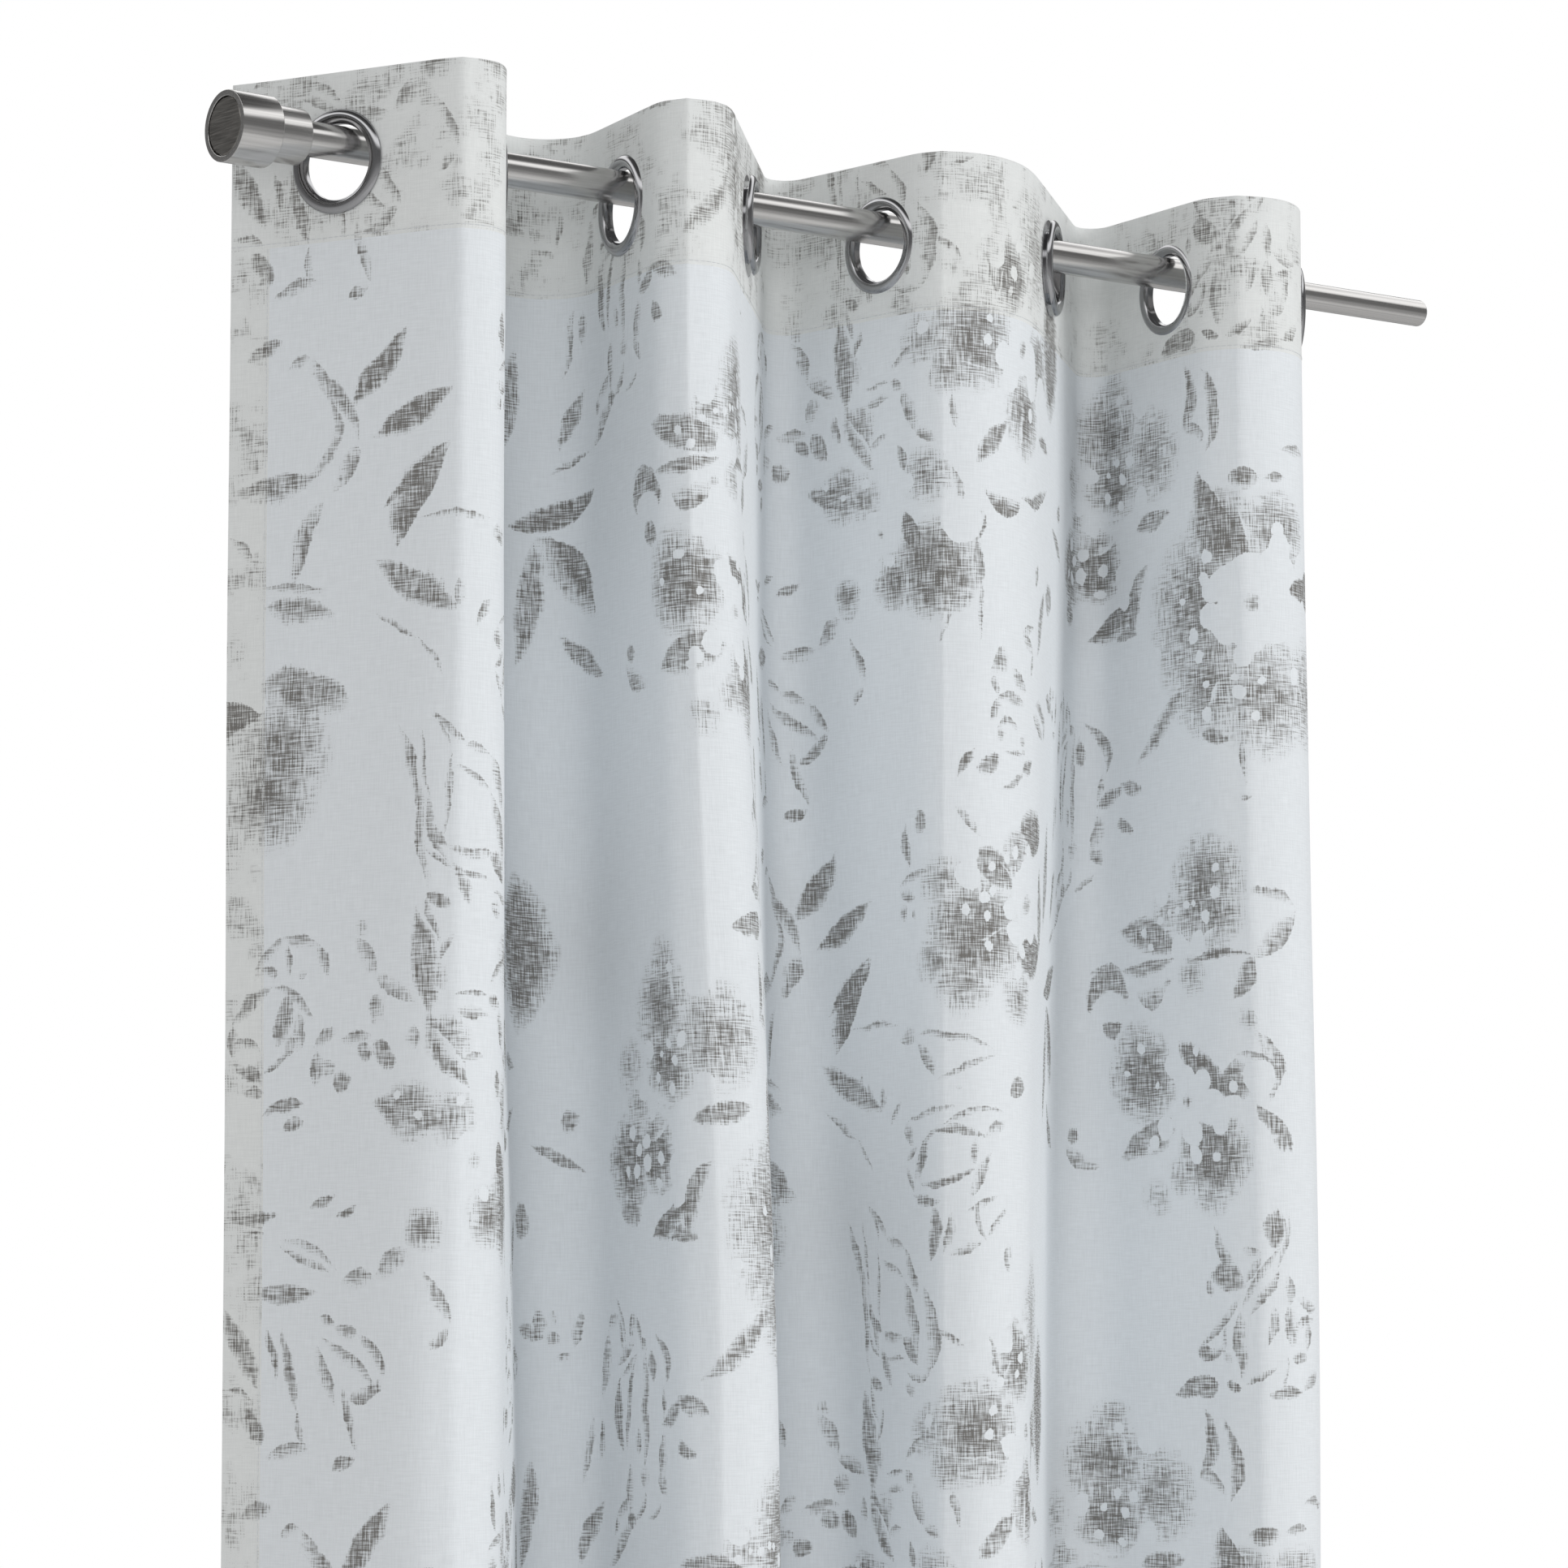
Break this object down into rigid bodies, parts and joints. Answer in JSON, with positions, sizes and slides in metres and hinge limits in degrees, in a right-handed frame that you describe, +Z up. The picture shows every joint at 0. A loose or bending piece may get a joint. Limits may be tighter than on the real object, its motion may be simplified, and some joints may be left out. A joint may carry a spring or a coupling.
{
  "type": "window curtain on a rod",
  "caption": "Eyelet curtain panel of printed semi-sheer cloth hung in deep folds on a telescopic steel rod with a stepped turned finial.",
  "frame": {"origin": "on the rod's axis, half way along the rod as it is set", "axes": "+X along the rod, from the finial to the open tube end; -Y towards the room; +Z up"},
  "size_m": [0.867, 0.1488, 2.45],
  "materials": {
    "brushed_steel": "brushed along the length, satin",
    "dark_brushed_steel": "dark, brushed, satin",
    "screw_steel": "plain dark steel",
    "dark_chrome": "polished dark nickel",
    "printed_cloth": "semi-sheer linen-look weave, white with a grey cross-hatched floral print",
    "stiffener": "white non-woven header tape"
  },
  "bodies": {
    "root": {"rod_outer_tube": "brushed_steel", "eyelet_1_front": "dark_chrome", "eyelet_1_back": "dark_chrome", "curtain_panel": "printed_cloth", "header_facing": "printed_cloth", "header_stiffener": "stiffener", "left_side_hem": "printed_cloth", "right_side_hem": "printed_cloth", "bottom_hem": "printed_cloth"},
    "inner_tube": {"rod_inner_tube": "brushed_steel"},
    "finial": {"finial_body": "brushed_steel", "finial_disc": "dark_brushed_steel", "finial_grub_screw": "screw_steel"},
    "eyelet_2": {"eyelet_2_front": "dark_chrome", "eyelet_2_back": "dark_chrome"},
    "eyelet_3": {"eyelet_3_front": "dark_chrome", "eyelet_3_back": "dark_chrome"},
    "eyelet_4": {"eyelet_4_front": "dark_chrome", "eyelet_4_back": "dark_chrome"},
    "eyelet_5": {"eyelet_5_front": "dark_chrome", "eyelet_5_back": "dark_chrome"},
    "eyelet_6": {"eyelet_6_front": "dark_chrome", "eyelet_6_back": "dark_chrome"},
    "eyelet_7": {"eyelet_7_front": "dark_chrome", "eyelet_7_back": "dark_chrome"},
    "eyelet_8": {"eyelet_8_front": "dark_chrome", "eyelet_8_back": "dark_chrome"}
  },
  "joints": [
    {"name": "curtain_draw", "type": "slide", "parent": "root", "child": "eyelet_8", "axis": [-1, 0, 0], "range_m": [0, 0.28], "deforming": ["curtain_panel", "header_facing", "header_stiffener", "left_side_hem", "right_side_hem", "bottom_hem"]},
    {"name": "eyelet_2_glide", "type": "slide", "parent": "root", "child": "eyelet_2", "axis": [-1, 0, 0], "range_m": [0, 0.0426]},
    {"name": "eyelet_3_glide", "type": "slide", "parent": "root", "child": "eyelet_3", "axis": [-1, 0, 0], "range_m": [0, 0.0763]},
    {"name": "eyelet_4_glide", "type": "slide", "parent": "root", "child": "eyelet_4", "axis": [-1, 0, 0], "range_m": [0, 0.1128]},
    {"name": "eyelet_5_glide", "type": "slide", "parent": "root", "child": "eyelet_5", "axis": [-1, 0, 0], "range_m": [0, 0.1502]},
    {"name": "eyelet_6_glide", "type": "slide", "parent": "root", "child": "eyelet_6", "axis": [-1, 0, 0], "range_m": [0, 0.203]},
    {"name": "eyelet_7_glide", "type": "slide", "parent": "root", "child": "eyelet_7", "axis": [-1, 0, 0], "range_m": [0, 0.2394]},
    {"name": "rod_extend", "type": "slide", "parent": "root", "child": "inner_tube", "axis": [1, 0, 0], "range_m": [-0.04, 0.4]},
    {"name": "finial_pull", "type": "slide", "parent": "root", "child": "finial", "axis": [-1, 0, 0], "range_m": [0, 0.06]}
  ],
  "couplings": [
    {"joint": "eyelet_2_glide", "follows": "curtain_draw", "ratio": 0.1505},
    {"joint": "eyelet_3_glide", "follows": "curtain_draw", "ratio": 0.2707},
    {"joint": "eyelet_4_glide", "follows": "curtain_draw", "ratio": 0.401},
    {"joint": "eyelet_5_glide", "follows": "curtain_draw", "ratio": 0.5348},
    {"joint": "eyelet_6_glide", "follows": "curtain_draw", "ratio": 0.7233},
    {"joint": "eyelet_7_glide", "follows": "curtain_draw", "ratio": 0.8532}
  ]
}
